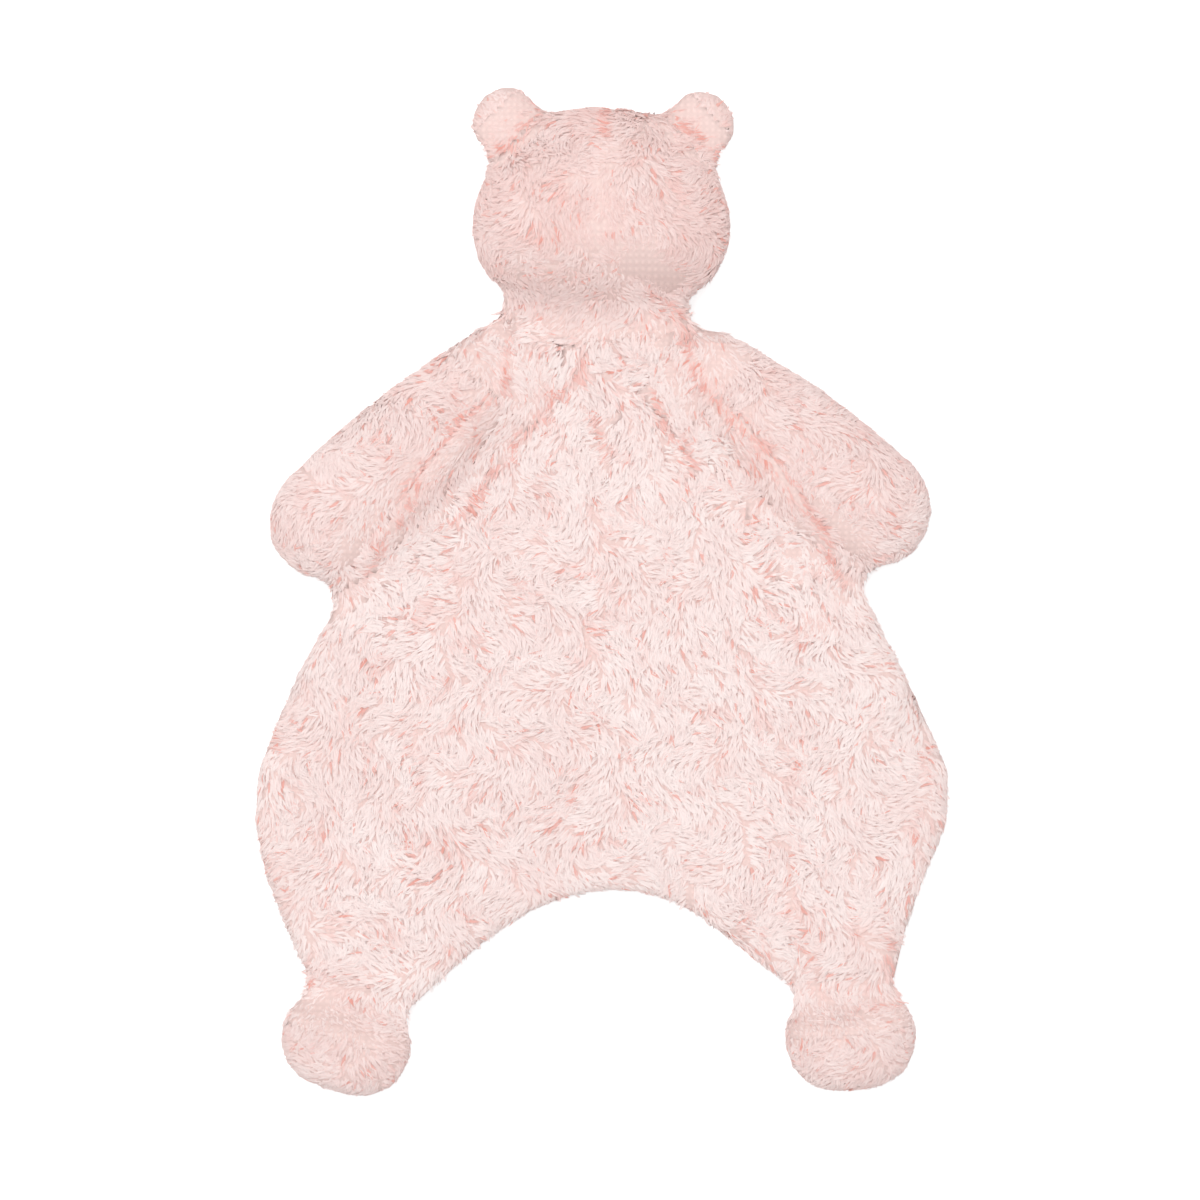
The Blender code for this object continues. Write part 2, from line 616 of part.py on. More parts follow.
def add_muzzle(head, carrier):
    """The padded muzzle, a dome sewn on the face, flat where the bear lies on it."""
    around, rings = MUZZLE_CELLS
    spread = np.sin(np.linspace(0, math.pi / 2, rings + 1))[None, :]
    turn = np.linspace(0, 2 * math.pi, around + 1)[:-1, None]
    seat, crown = muzzle_points(head, spread, turn)
    rows, columns = seat.shape[:2]
    numbers = np.arange(rows * columns).reshape(rows, columns)
    over, under = np.concatenate([numbers, numbers[:1]]), np.concatenate([numbers, numbers[:1]])
    under = under + rows * columns
    faces = grid_faces(over) + grid_faces(under)
    faces += grid_faces(np.stack([over[:, -1], under[:, -1]]))
    points = np.concatenate([crown.reshape(-1, 3), seat.reshape(-1, 3)])
    mesh = mesh_from("muzzle", points, faces)
    add_piece("muzzle", mesh, PLUSH_FRONT, PLUSH_ROUGHNESS, carrier)


def add_button(name, spot, out, half_sizes, colour, carrier):
    """A flattened round of satin stitches that lies on the plush."""
    work = bmesh.new()
    bmesh.ops.create_uvsphere(work, u_segments=BUTTON_CELLS[0], v_segments=BUTTON_CELLS[1], radius=1)
    turn = Vector(out).to_track_quat("Z", "Y").to_matrix().to_4x4()
    middle = Vector(spot) + Vector(out) * (half_sizes[2] + SEAT_GAP)
    work.transform(Matrix.Translation(middle) @ turn @ Matrix.Diagonal((*half_sizes, 1)))
    mesh = bpy.data.meshes.new(name)
    work.to_mesh(mesh)
    work.free()
    add_piece(name, mesh, colour, THREAD_ROUGHNESS, carrier)


def add_head(head):
    """The stuffed head: two back panels that meet at the crown seam, the face and what is on it."""
    carrier = joint_empty("head", head)
    quarter = math.pi / 2
    shell_panel("head_back_left_panel", head, 0, quarter, PLUSH_HEAD, carrier, SEAT_GAP / 2)
    shell_panel("head_back_right_panel", head, quarter, 2 * quarter, PLUSH_HEAD, carrier, -SEAT_GAP / 2)
    shell_panel("head_face_panel", head, -2 * quarter, 0, PLUSH_HEAD, carrier)
    stuffing("head_stuffing", head, carrier)
    add_muzzle(head, carrier)
    for name, side in (("left_eye", 1), ("right_eye", -1)):
        spot, out = face_spot(head, EYE_SHARE * head.length, side * EYE_SPACING / 2)
        add_button(name, spot, out, (EYE_RADIUS, EYE_RADIUS, EYE_THICKNESS / 2), EYE_BROWN, carrier)
    nudge = np.array([-1, 0, 1]) * (1 - NOSE_SPREAD_SHARE) / 4
    crown = muzzle_points(head, NOSE_SPREAD_SHARE + nudge, math.pi / 2)[1]
    run = crown[2] - crown[0]
    out = Vector((run[2], 0, -run[0])).normalized()
    half_sizes = (NOSE_HALF_WIDTH, NOSE_HALF_LENGTH, NOSE_THICKNESS / 2)
    add_button("nose", crown[1], out, half_sizes, NOSE_PINK, carrier)
    return carrier


def add_ear(name, ear, head, head_empty):
    """An ear: two sheets of plush sewn round the edge, with no filling."""
    carrier = joint_empty(name, ear, head, head_empty)
    turn = np.linspace(0, math.pi, ear.around + 1)
    for panel, side in (("back", 1), ("front", -1)):
        label = f"{name}_{panel}_panel"
        grid = ear.points(turn * side, 0, side * SEAT_GAP / 2)
        rows, columns = grid.shape[:2]
        numbers = np.arange(rows * columns).reshape(rows, columns)
        faces = grid_faces(numbers) + [tuple(numbers[:, 0])]
        faces.append((*numbers[0], *numbers[-1, ::-1][1:]))
        mesh = mesh_from(label, grid.reshape(-1, 3), faces)
        add_piece(label, mesh, PLUSH_HEAD if side > 0 else PLUSH_FRONT, PLUSH_ROUGHNESS, carrier)


def add_stuffed_limb(name, limb):
    """An arm or a foot: a back and a front panel sewn round the filling."""
    carrier = joint_empty(name, limb)
    shell_panel(f"{name}_back_panel", limb, 0, math.pi, PLUSH_BACK, carrier)
    shell_panel(f"{name}_front_panel", limb, -math.pi, 0, PLUSH_FRONT, carrier)
    stuffing(f"{name}_stuffing", limb, carrier)


def add_blanket(limbs):
    """The blanket's two sheets and the runs of thread that hold them together."""
    feet = [limbs["left_foot"], limbs["right_foot"]]
    loop = blanket_outline(limbs)
    blanket_panel("blanket_back_panel", loop, feet, 1, PLUSH_BACK)
    blanket_panel("blanket_front_panel", loop, feet, -1, PLUSH_FRONT)
    seam = inset_loop(loop, EDGE_ROUND)
    left, bottom, right, top = loop_edges(seam)
    outer, arch = bottom[:ANKLE_CELLS + 1], bottom[ANKLE_CELLS:-ANKLE_CELLS]
    for name, run in (("left_side_seam_thread", left[1:-1]), ("right_side_seam_thread", right[1:-1]),
                      ("leg_arch_seam_thread", arch[1:-1]),
                      ("neck_gather_thread", top[1:-1:NECK_THREAD_STEP]),
                      ("left_ankle_gather_thread", outer),
                      ("right_ankle_gather_thread", bottom[-ANKLE_CELLS - 1:])):
        seam_thread(name, run, feet)


clear_scene()
parts = bpy.data.collections.new(OBJECT_NAME)
bpy.context.scene.collection.children.link(parts)

head = head_limb()
limbs = {name: arm_limb(name) for name in ARM_PLACES}
limbs.update({name: foot_limb(name) for name in FOOT_PLACES})
add_blanket(limbs)
head_empty = add_head(head)
for ear_name in EAR_BEARINGS:
    add_ear(ear_name, ear_limb(ear_name, head), head, head_empty)
for limb_name, limb in limbs.items():
    add_stuffed_limb(limb_name, limb)
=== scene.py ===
"""Comfort blanket lovey in long-pile plush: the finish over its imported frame.

A flat bear lies face down. Each cover is a knitted cloth whose pile is real fibres, set in locks and
tufts. Everything is in metres, in the frame's own axes: x to the right, y to the head, z to the back.
"""
import json
import math

import bpy
import numpy as np
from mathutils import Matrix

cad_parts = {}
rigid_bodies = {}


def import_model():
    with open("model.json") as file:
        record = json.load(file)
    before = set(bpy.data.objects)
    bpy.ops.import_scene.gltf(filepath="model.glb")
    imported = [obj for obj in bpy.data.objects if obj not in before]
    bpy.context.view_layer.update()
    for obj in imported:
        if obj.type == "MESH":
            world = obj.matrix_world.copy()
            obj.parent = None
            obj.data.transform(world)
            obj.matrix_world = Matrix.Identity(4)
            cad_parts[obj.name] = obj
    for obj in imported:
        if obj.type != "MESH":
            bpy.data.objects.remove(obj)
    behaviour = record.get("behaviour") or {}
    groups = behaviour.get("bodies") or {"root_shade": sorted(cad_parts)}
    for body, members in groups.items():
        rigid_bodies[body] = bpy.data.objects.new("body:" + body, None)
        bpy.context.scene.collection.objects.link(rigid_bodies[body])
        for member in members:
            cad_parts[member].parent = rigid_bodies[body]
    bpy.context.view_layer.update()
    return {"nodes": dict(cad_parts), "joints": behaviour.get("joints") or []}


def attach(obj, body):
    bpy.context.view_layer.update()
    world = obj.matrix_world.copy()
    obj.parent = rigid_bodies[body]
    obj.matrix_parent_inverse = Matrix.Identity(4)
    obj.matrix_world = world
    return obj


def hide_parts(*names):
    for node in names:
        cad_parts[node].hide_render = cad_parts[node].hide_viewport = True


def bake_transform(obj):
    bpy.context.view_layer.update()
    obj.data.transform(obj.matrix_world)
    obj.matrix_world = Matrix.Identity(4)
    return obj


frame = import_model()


# The blanket: two sheets of plush, cut alike, sewn round the edge and gathered at the neck and the
# ankles. This is their knitted cloth; the pile that stands on it comes further down.
CLOTH_WALL = 0.0009
CLOTH_COLOUR = (255, 226, 220)
KNIT_PITCH = 0.0009
KNIT_HOLLOW_SHADE_SHARE = 0.82
KNIT_DRIFT_SCALE = 600.0
PILE_DEPTH = 0.0011
UNDERFUR = 0.0008
SIDE_SLOPE = -0.3


def linear(red, green, blue):
    """A colour that is read off as 0 to 255, as the linear light that shaders take."""
    c = np.array([red, green, blue]) / 255
    return tuple(float(v) for v in np.where(c <= 0.04045, c / 12.92, ((c + 0.055) / 1.055) ** 2.4))


def unit(vectors):
    """Vectors made one long."""
    return vectors / np.maximum(np.linalg.norm(vectors, axis=-1, keepdims=True), 1e-12)


class Value:
    """A shader socket that adds, subtracts and multiplies by adding Math nodes."""

    def __init__(self, tree, socket):
        self.tree, self.socket = tree, socket

    def node(self, kind, settings=None, **sockets):
        """A node of that type with its settings, and each socket given a value or a link by its name."""
        node = self.tree.nodes.new(kind)
        for key, value in (settings or {}).items():
            setattr(node, key, value)
        for key, value in sockets.items():
            name = key.replace("_", " ")
            socket = node.inputs[int(name[1:])] if name[1:].isdigit() else node.inputs[name]
            if isinstance(value, Value):
                self.tree.links.new(value.socket, socket)
            else:
                socket.default_value = value
        return node

    def out(self, kind, output, settings=None, **sockets):
        """One output of a new node, as a Value."""
        return Value(self.tree, self.node(kind, settings, **sockets).outputs[output])

    def maths(self, operation, first, second):
        """A Math node on two values or sockets."""
        return self.out("ShaderNodeMath", 0, {"operation": operation}, i0=first, i1=second)

    def __add__(self, other):
        return self.maths("ADD", self, other)

    def __sub__(self, other):
        return self.maths("SUBTRACT", self, other)

    def __mul__(self, other):
        return self.maths("MULTIPLY", self, other)

    def __rsub__(self, other):
        return self.maths("SUBTRACT", other, self)

    __radd__, __rmul__ = __add__, __mul__

    def mixed(self, low, high):
        """The colour that goes from low to high as this value goes from 0 to 1."""
        return self.out("ShaderNodeMix", 2, {"data_type": "RGBA"}, i0=self, i6=low, i7=high)

    def feeds(self, socket):
        """Links the value to a shader's socket."""
        self.tree.links.new(self.socket, socket)


def new_finish(name, roughness, sheen=0.0, specular=0.3):
    """A material with its Principled shader, and its object coordinates as a Value."""
    material = bpy.data.materials.new(name)
    material.use_nodes = True
    shader = material.node_tree.nodes["Principled BSDF"]
    shader.inputs["Roughness"].default_value = roughness
    shader.inputs["Specular IOR Level"].default_value = specular
    shader.inputs["Sheen Weight"].default_value = sheen
    coordinates = material.node_tree.nodes.new("ShaderNodeTexCoord")
    return material, shader, Value(material.node_tree, coordinates.outputs["Object"])


def wave_scale(pitch):
    """The scale at which a Wave Texture's bands lie one pitch apart: pi / 20 over the pitch."""
    return math.pi / 20 / pitch


def knitted(name, colour):
    """Knitted cloth under its underfur: two crossing waves a knit pitch apart, darker in colour where their
    bump sinks as painted shade in the hollows, and a drift of tone.
    """
    material, shader, place = new_finish(name, 0.95, sheen=0.1, specular=0.1)
    scale = wave_scale(KNIT_PITCH)
    loops = [place.out("ShaderNodeTexWave", "Fac", {"bands_direction": way}, Vector=place, Scale=scale,
                       Distortion=0.6) for way in ("X", "Y")]
    loops = loops[0] * loops[1]
    drift = place.out("ShaderNodeTexNoise", "Fac", None, Vector=place, Scale=KNIT_DRIFT_SCALE, Detail=2.0)
    pale = linear(*colour)
    # The deeper colour is painted shade: it follows the same waves as the bump and is darkest in the knit's
    # hollows.
    painted_hollow_shade = tuple(KNIT_HOLLOW_SHADE_SHARE * c for c in pale)
    (loops * 0.5 + drift * 0.5).mixed((*painted_hollow_shade, 1), (*pale, 1)).feeds(shader.inputs["Base Color"])
    bump = place.out("ShaderNodeBump", "Normal", None, Height=loops, Distance=CLOTH_WALL / 3, Strength=0.5)
    bump.feeds(shader.inputs["Normal"])
    return material


def vertex_sums(values, triangles, count):
    """Each point's sum of its triangles' values."""
    sums = np.zeros((count, 3))
    for k in range(3):
        np.add.at(sums, triangles[:, k], values)
    return sums


def surface_of(corners):
    """Points, triangles and normals from triangle corners: a normal sums its triangles' areas."""
    area = np.cross(corners[:, 1] - corners[:, 0], corners[:, 2] - corners[:, 0])
    points, index = np.unique(np.round(corners.reshape(-1, 3), 6), axis=0, return_inverse=True)
    triangles = index.reshape(-1, 3)
    return points, triangles, unit(vertex_sums(area, triangles, len(points)))


def mesh_corners(mesh):
    """A mesh's triangles as their corner points."""
    mesh.calc_loop_triangles()
    points = np.empty(len(mesh.vertices) * 3, np.float32)
    mesh.vertices.foreach_get("co", points)
    triangles = np.empty(len(mesh.loop_triangles) * 3, np.int32)
    mesh.loop_triangles.foreach_get("vertices", triangles)
    return points.reshape(-1, 3)[triangles].reshape(-1, 3, 3).astype(float)


def packed(nodes, wanted=None):
    """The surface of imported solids, or its faces that wanted(middles, normals) picks."""
    corners = np.concatenate([mesh_corners(frame["nodes"][node].data) for node in nodes])
    if wanted is not None:
        area = np.cross(corners[:, 1] - corners[:, 0], corners[:, 2] - corners[:, 0])
        corners = corners[wanted(corners.mean(1), unit(area))]
    return surface_of(corners)


def offset(surface, distance):
    """The surface moved along its normals."""
    points, triangles, normals = surface
    return points + distance * normals, triangles, normals


def solid_from(name, points, faces, material):
    """A smooth mesh object from arrays of points and of faces that have one number of corners."""
    mesh = bpy.data.meshes.new(name)
    mesh.vertices.add(len(points))
    mesh.vertices.foreach_set("co", np.ascontiguousarray(points, np.float32).ravel())
    mesh.loops.add(faces.size)
    mesh.loops.foreach_set("vertex_index", np.ascontiguousarray(faces, np.int32).ravel())
    mesh.polygons.add(len(faces))
    mesh.polygons.foreach_set("loop_start", np.arange(len(faces), dtype=np.int32) * faces.shape[1])
    mesh.update(calc_edges=True)
    mesh.validate()
    mesh.polygons.foreach_set("use_smooth", np.full(len(mesh.polygons), True))
    mesh.materials.append(material)
    piece = bpy.data.objects.new(name, mesh)
    bpy.context.scene.collection.objects.link(piece)
    return piece


def with_wall(name, surface, wall, material):
    """A sheet of that thickness: the surface, the same surface one wall further in, and its border."""
    points, triangles, normals = surface
    count = len(points)
    edges = np.concatenate([triangles[:, [0, 1]], triangles[:, [1, 2]], triangles[:, [2, 0]]])
    code = edges[:, 0].astype(np.int64) * count + edges[:, 1]
    back = edges[:, 1].astype(np.int64) * count + edges[:, 0]
    border = edges[~np.isin(code, back)]
    rim = np.concatenate([np.column_stack([border[:, 1], border[:, 0], border[:, 0] + count]),
                          np.column_stack([border[:, 1], border[:, 0] + count, border[:, 1] + count])])
    faces = np.concatenate([triangles, triangles[:, ::-1] + count, rim])
    return solid_from(name, np.concatenate([points, points - wall * normals]), faces, material)


cloth_finish = knitted("knitted_cloth", CLOTH_COLOUR)
for name, node, side, slot in (("upper_sheet", "blanket_back_panel", 1, "plush_back"),
                               ("lower_sheet", "blanket_front_panel", -1, "plush_front")):
    face = packed([node], lambda middle, out: out[:, 2] * side > SIDE_SLOPE)
    sheet = with_wall(name, offset(face, UNDERFUR - PILE_DEPTH), CLOTH_WALL, cloth_finish)
    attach(sheet, "blanket")
    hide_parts(node)

# The stuffed pieces: plush covers round their fibre filling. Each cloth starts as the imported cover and
# filling, remeshed as one closed skin under the pile; the head, arms and feet are inflated as cloth too.
VOXEL = 0.0022
SWELL = 0.0004
PRESSURE = 4.0
CLOTH_MASS = 0.002
CLOTH_STRETCH_STIFFNESS = 5.0
CLOTH_BEND_STIFFNESS = 0.05
CLOTH_FRAMES = 20
STUFFED = {"head": "plush_head", "left_arm": "plush_back", "right_arm": "plush_back",
           "left_foot": "plush_back", "right_foot": "plush_back"}


def settled(piece):
    """The piece's mesh as its modifiers leave it, with the modifiers gone."""
    bpy.context.view_layer.update()
    done = bpy.data.meshes.new_from_object(piece.evaluated_get(bpy.context.evaluated_depsgraph_get()))
    piece.modifiers.clear()
    piece.data = done


def point_places(mesh):
    """A mesh's points as an array."""
    points = np.empty(len(mesh.vertices) * 3, np.float32)
    mesh.vertices.foreach_get("co", points)
    return points.reshape(-1, 3).astype(float)


def inflated(piece):
    """Cloth under pressure, with no gravity, each point kept within the swell of where it began."""
    start = point_places(piece.data)
    cloth = piece.modifiers.new("Cloth", "CLOTH")
    cloth.settings.use_pressure = True
    cloth.settings.uniform_pressure_force = PRESSURE
    cloth.settings.effector_weights.gravity = 0.0
    cloth.settings.mass = CLOTH_MASS
    cloth.settings.tension_stiffness = cloth.settings.compression_stiffness = CLOTH_STRETCH_STIFFNESS
    cloth.settings.bending_stiffness = CLOTH_BEND_STIFFNESS
    for moment in range(1, CLOTH_FRAMES + 1):
        bpy.context.scene.frame_set(moment)
    settled(piece)
    bpy.context.scene.frame_set(1)
    moved = point_places(piece.data) - start
    length = np.linalg.norm(moved, axis=1, keepdims=True)
    points = start + moved * np.minimum(1, SWELL / np.maximum(length, 1e-9))
    piece.data.vertices.foreach_set("co", points.astype(np.float32).ravel())
    piece.data.update()


def panels_of(body):
    """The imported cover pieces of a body."""
    return [node for node in frame["nodes"] if node.startswith(body) and node.endswith("panel")]


def remeshed(name, points, triangles):
    """The outer skin of overlapping closed surfaces, in even squares one voxel wide."""
    skin = solid_from(name, points, triangles, cloth_finish)
    remesh = skin.modifiers.new("Remesh", "REMESH")
    remesh.mode = "VOXEL"
    remesh.voxel_size = VOXEL
    remesh.use_smooth_shade = True
    settled(skin)
    return skin


def moved_in(piece, distance):
    """The piece's points moved in along their normals."""
    points, _, normals = mesh_surface(piece.data)
    piece.data.vertices.foreach_set("co", (points - distance * normals).astype(np.float32).ravel())
    piece.data.update()


def mesh_surface(mesh):
    """A mesh's own points, triangles and point normals."""
    mesh.calc_loop_triangles()
    points = point_places(mesh)
    triangles = np.empty(len(mesh.loop_triangles) * 3, np.int32)
    mesh.loop_triangles.foreach_get("vertices", triangles)
    triangles = triangles.reshape(-1, 3)
    corners = points[triangles]
    area = np.cross(corners[:, 1] - corners[:, 0], corners[:, 2] - corners[:, 0])
    return points, triangles, unit(vertex_sums(area, triangles, len(points)))


def finer(cloth):
    """One subdivision, applied, and the cloth's own finish on the result."""
    subdivision = cloth.modifiers.new("Subdivision", "SUBSURF")
    subdivision.levels = subdivision.render_levels = 1
    settled(cloth)
    cloth.data.materials.clear()
    cloth.data.materials.append(cloth_finish)
    cloth.data.shade_smooth()


def cover(name, body, solids, blown=False):
    """The cloth of a padded piece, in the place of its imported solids."""
    cloth = remeshed(name, *packed(solids)[:2])
    moved_in(cloth, PILE_DEPTH - UNDERFUR)
    if blown:
        inflated(cloth)
    finer(cloth)
    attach(cloth, body)
    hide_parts(*solids)


for limb, slot in STUFFED.items():
    cover(limb + "_cloth", limb, [*panels_of(limb), limb + "_stuffing"], blown=True)

# The ears: two small sheets of the same plush, sewn together without filling and sewn into the
# crown's seams.
for ear in ("left_ear", "right_ear"):
    cover(ear + "_cloth", ear, panels_of(ear))

# The muzzle: a small stuffed dome of the same plush, sewn on the face.
cover("muzzle_cloth", "head", ["muzzle"])

# The eyes and the nose: satin stitches of brown thread laid side by side over an oval, as on any
# bear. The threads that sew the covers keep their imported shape, in the same spun finish.
STITCH_PITCH = 0.00045
STITCH_RADIUS = 0.0003
STITCH_STATIONS = 9
STITCH_SIDES = 6
STITCH_END_SHARE = 0.85
TWIST_PITCH = 0.0006
SPUN_GROOVE_SHADE_SHARE = 0.6
SPUN_DRIFT_SCALE = 900.0
EYE_COLOUR = (74, 52, 44)
NOSE_COLOUR = (112, 74, 64)
THREAD_COLOUR = (244, 205, 198)


def spun(name, colour):
    """Spun thread: slanting plies that catch the light in turn through their bump, with painted shade in
    the grooves between them, and a faint drift of tone.
    """
    material, shader, place = new_finish(name, 0.55, sheen=0.1, specular=0.35)
    ply = place.out("ShaderNodeTexWave", "Fac", {"bands_direction": "DIAGONAL"}, Vector=place,
                    Scale=wave_scale(TWIST_PITCH), Distortion=0.4)
    drift = place.out("ShaderNodeTexNoise", "Fac", None, Vector=place, Scale=SPUN_DRIFT_SCALE, Detail=2.0)
    pale = linear(*colour)
    # The deeper colour is painted shade: it follows the same ply wave as the bump and is darkest in the
    # grooves.
    painted_hollow_shade = tuple(SPUN_GROOVE_SHADE_SHARE * c for c in pale)
    (ply * 0.6 + drift * 0.4).mixed((*painted_hollow_shade, 1), (*pale, 1)).feeds(shader.inputs["Base Color"])
    bump = place.out("ShaderNodeBump", "Normal", None, Height=ply, Distance=STITCH_RADIUS / 3, Strength=0.5)
    bump.feeds(shader.inputs["Normal"])
    return material


def tubes(paths, up, radii, sides):
    """Closed tubes along paths: rings of points about each station, and a fan at either end."""
    count, stations = paths.shape[:2]
    way = unit(np.gradient(paths, axis=1))
    side = unit(np.cross(way, up))
    angle = np.arange(sides) * 2 * math.pi / sides
    turned = np.cross(side, way)
    ring = np.cos(angle)[:, None] * side[:, :, None] + np.sin(angle)[:, None] * turned[:, :, None]
    points = (paths[:, :, None] + radii[None, :, None, None] * ring).reshape(-1, 3)
    here = np.arange(stations - 1)[:, None] * sides + np.arange(sides)
    ahead = np.arange(stations - 1)[:, None] * sides + (np.arange(sides) + 1) % sides
    wall = np.concatenate([np.stack([here, here + sides, ahead], axis=2),
                           np.stack([ahead, here + sides, ahead + sides], axis=2)])
    fan = np.stack([np.zeros(sides - 2, int), np.arange(1, sides - 1), np.arange(2, sides)], axis=1)
    faces = np.concatenate([wall.reshape(-1, 3), fan, fan[:, ::-1] + (stations - 1) * sides])
    return points, (faces[None] + stations * sides * np.arange(count)[:, None, None]).reshape(-1, 3)


def removed(piece):
    """Takes a piece and its mesh out of the scene again."""
    mesh = piece.data
    bpy.data.objects.remove(piece)
    bpy.data.meshes.remove(mesh)


def nearest(points, nodes):
    """Each point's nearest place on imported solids."""
    target = solid_from("target", *packed(nodes)[:2], None)
    probe = solid_from("probe", points, np.empty((0, 3), int), None)
    probe.modifiers.new("Shrinkwrap", "SHRINKWRAP").target = target
    settled(probe)
    found = point_places(probe.data)
    removed(probe)
    removed(target)
    return found


head_middle = packed(panels_of("head"))[0].mean(0)
for node, slot, colour in (("left_eye", "eye_stitching", EYE_COLOUR),
                           ("right_eye", "eye_stitching", EYE_COLOUR),
                           ("nose", "nose_stitching", NOSE_COLOUR)):
    oval = packed([node])[0]
    middle = oval.mean(0)
    ways = np.linalg.eigh(np.cov((oval - middle).T))[1].T
    up = ways[0] * np.sign(ways[0] @ (middle - head_middle))
    along, across = sorted(ways[1:], key=lambda way: -abs(way[1]))
    reach = [abs((oval - middle) @ way).max() for way in (along, across)]
    rows = int(2 * reach[1] / STITCH_PITCH)
    row = (np.arange(rows) + 0.5) / rows * 2 - 1
    station = np.sin(np.linspace(-1, 1, STITCH_STATIONS) * math.pi / 2)
    flat = (np.sqrt(1 - row[:, None, None] ** 2) * station[None, :, None] * reach[0] * along
            + row[:, None, None] * reach[1] * across)
    paths = nearest((middle + flat + max(reach) * up).reshape(-1, 3), [node])
    paths = paths.reshape(rows, STITCH_STATIONS, 3)
    radii = STITCH_RADIUS * np.sqrt(1 - STITCH_END_SHARE * station**2)
    points, faces = tubes(paths, up, radii, STITCH_SIDES)
    stitches = solid_from(node + "_stitches", points, faces, spun(node + "_thread", colour))
    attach(stitches, "head")
    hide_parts(node)
sewing = spun("sewing_thread", THREAD_COLOUR)
for name, node in frame["nodes"].items():
    if name.endswith("thread"):
        node.data.materials.clear()
        node.data.materials.append(sewing)

# The pile: fibres set in locks, and locks in tufts, over one skin that spans the hollows between the
# parts as the real pile does. Across a seam, it stands on a strip of cloth of its own.
# The colour at the fibres' feet is painted shade, deeper and pinker low in the pile; the coral is painted
# shade where the pile parts.
ROOT_SHADE_COLOUR = (250, 204, 196)
SHADE_COLOUR = (244, 214, 209)
TIP_COLOUR = (255, 241, 238)
CORAL_CREASE_SHADE = (240, 172, 160)
PALING = 3.2
DRIFT_SCALE = 38.0
DRIFT_DEPTH = 0.6


def plush(name, root_shade, shade, tip, coral_crease_shade):
    """Plush fibre: painted shade that deepens towards its foot, in drifts of two pale pinks, and coral
    painted shade where the pile parts.
    """
    material, shader, place = new_finish(name, 0.6, sheen=0.1, specular=0.2)
    level = place.out("ShaderNodeAttribute", "Fac", {"attribute_name": "level"})
    tone = place.out("ShaderNodeAttribute", "Fac", {"attribute_name": "tone"})
    drift = place.out("ShaderNodeTexNoise", "Fac", None, Vector=place, Scale=DRIFT_SCALE, Detail=2.0)
    pale = (tone + drift * DRIFT_DEPTH - DRIFT_DEPTH / 2).mixed((*linear(*shade), 1), (*linear(*tip), 1))
    rise = place.out("ShaderNodeClamp", 0, None, Value=level * PALING)
    crease_shade = place.out("ShaderNodeAttribute", "Fac", {"attribute_name": "crease_shade"})
    # Painted shade: the colour deepens towards the fibre's foot, where the pile lies in shade.
    fibre = rise.mixed((*linear(*root_shade), 1), pale)
    crease_shade.mixed(fibre, (*linear(*coral_crease_shade), 1)).feeds(shader.inputs["Base Color"])
    return material


# How the skin spans the hollows: wider along the creases beside the arms. The lines of creases, of
# the slit below the right arm and of folds are as the back shows them, in plan.
CLOSING = 0.0032
CREASE_CLOSING = 0.0038
CREASE_REACH = 0.008
SKIN_GAIN = 0.0005
SKIN_SMOOTHING = 6
NORMAL_SMOOTHING = 3
ARM_CREASES = (((-0.0278, 0.0722), (-0.0287, 0.0644), (-0.0301, 0.0578), (-0.0350, 0.0520),
                (-0.0408, 0.0463), (-0.0486, 0.0385), (-0.0595, 0.0212), (-0.0696, 0.0053)),
               ((0.0120, 0.0866), (0.0198, 0.0809), (0.0247, 0.0740), (0.0275, 0.0653),
                (0.0333, 0.0567), (0.0408, 0.0480), (0.0457, 0.0420)),
               ((0.0572, 0.0247), (0.0644, 0.0140), (0.0711, 0.0053)))
SLIT = (((0.0457, 0.0414), (0.0520, 0.0333), (0.0569, 0.0252)),)
BODY_FOLDS = (((-0.0053, 0.0702), (-0.0071, 0.0624), (-0.0140, 0.0567), (-0.0206, 0.0492),
               (-0.0284, 0.0385), (-0.0370, 0.0298), (-0.0437, 0.0212)),
              ((0.0004, 0.0529), (0.0001, 0.0492), (0.0030, 0.0434)),
              ((0.0120, 0.0587), (0.0169, 0.0500), (0.0218, 0.0422), (0.0247, 0.0365)),
              ((0.0797, -0.0985), (0.0838, -0.1129)), ((0.0751, -0.1172), (0.0861, -0.1158)))
HEAD_SEAMS = (((0.0030, 0.1394), (0.0033, 0.1279)), ((-0.0157, 0.1365), (-0.0264, 0.1264)),
              ((0.0169, 0.1365), (0.0218, 0.1308), (0.0304, 0.1244)))


def skin_over(nodes):
    """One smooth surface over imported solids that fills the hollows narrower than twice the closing.

    It is the solids grown by the closing, remeshed as one, shrunk by the closing again, and smoothed.
    The closing is larger along the arms' creases, by a bell curve of the distance in plan. The normals
    are smoothed by taking each point's triangles' mean again and again.
    """
    def closing(points):
        distance = beside(points, ARM_CREASES + SLIT)[0]
        return CLOSING + CREASE_CLOSING * np.exp(-(distance / CREASE_REACH) ** 2)[:, None]

    solids = packed(nodes)
    skin = remeshed("skin", *offset(solids, closing(solids[0]))[:2])
    moved_in(skin, closing(point_places(skin.data)) - SKIN_GAIN)
    smooth = skin.modifiers.new("Smooth", "SMOOTH")
    smooth.iterations = SKIN_SMOOTHING
    settled(skin)
    points, triangles, normals = mesh_surface(skin.data)
    removed(skin)
    for _ in range(NORMAL_SMOOTHING):
        normals = unit(vertex_sums(normals[triangles].sum(1), triangles, len(points)))
    return points, triangles, normals


# How densely locks stand, and how they spread: the golden steps fill a plane evenly.
LOCKS_PER_M2 = 990000
UNDERSIDE_SHARE = 0.4
HIDDEN_SLOPE = -0.35
GOLDEN_STEPS = np.array([0.7548776662466927, 0.5698402909980532])


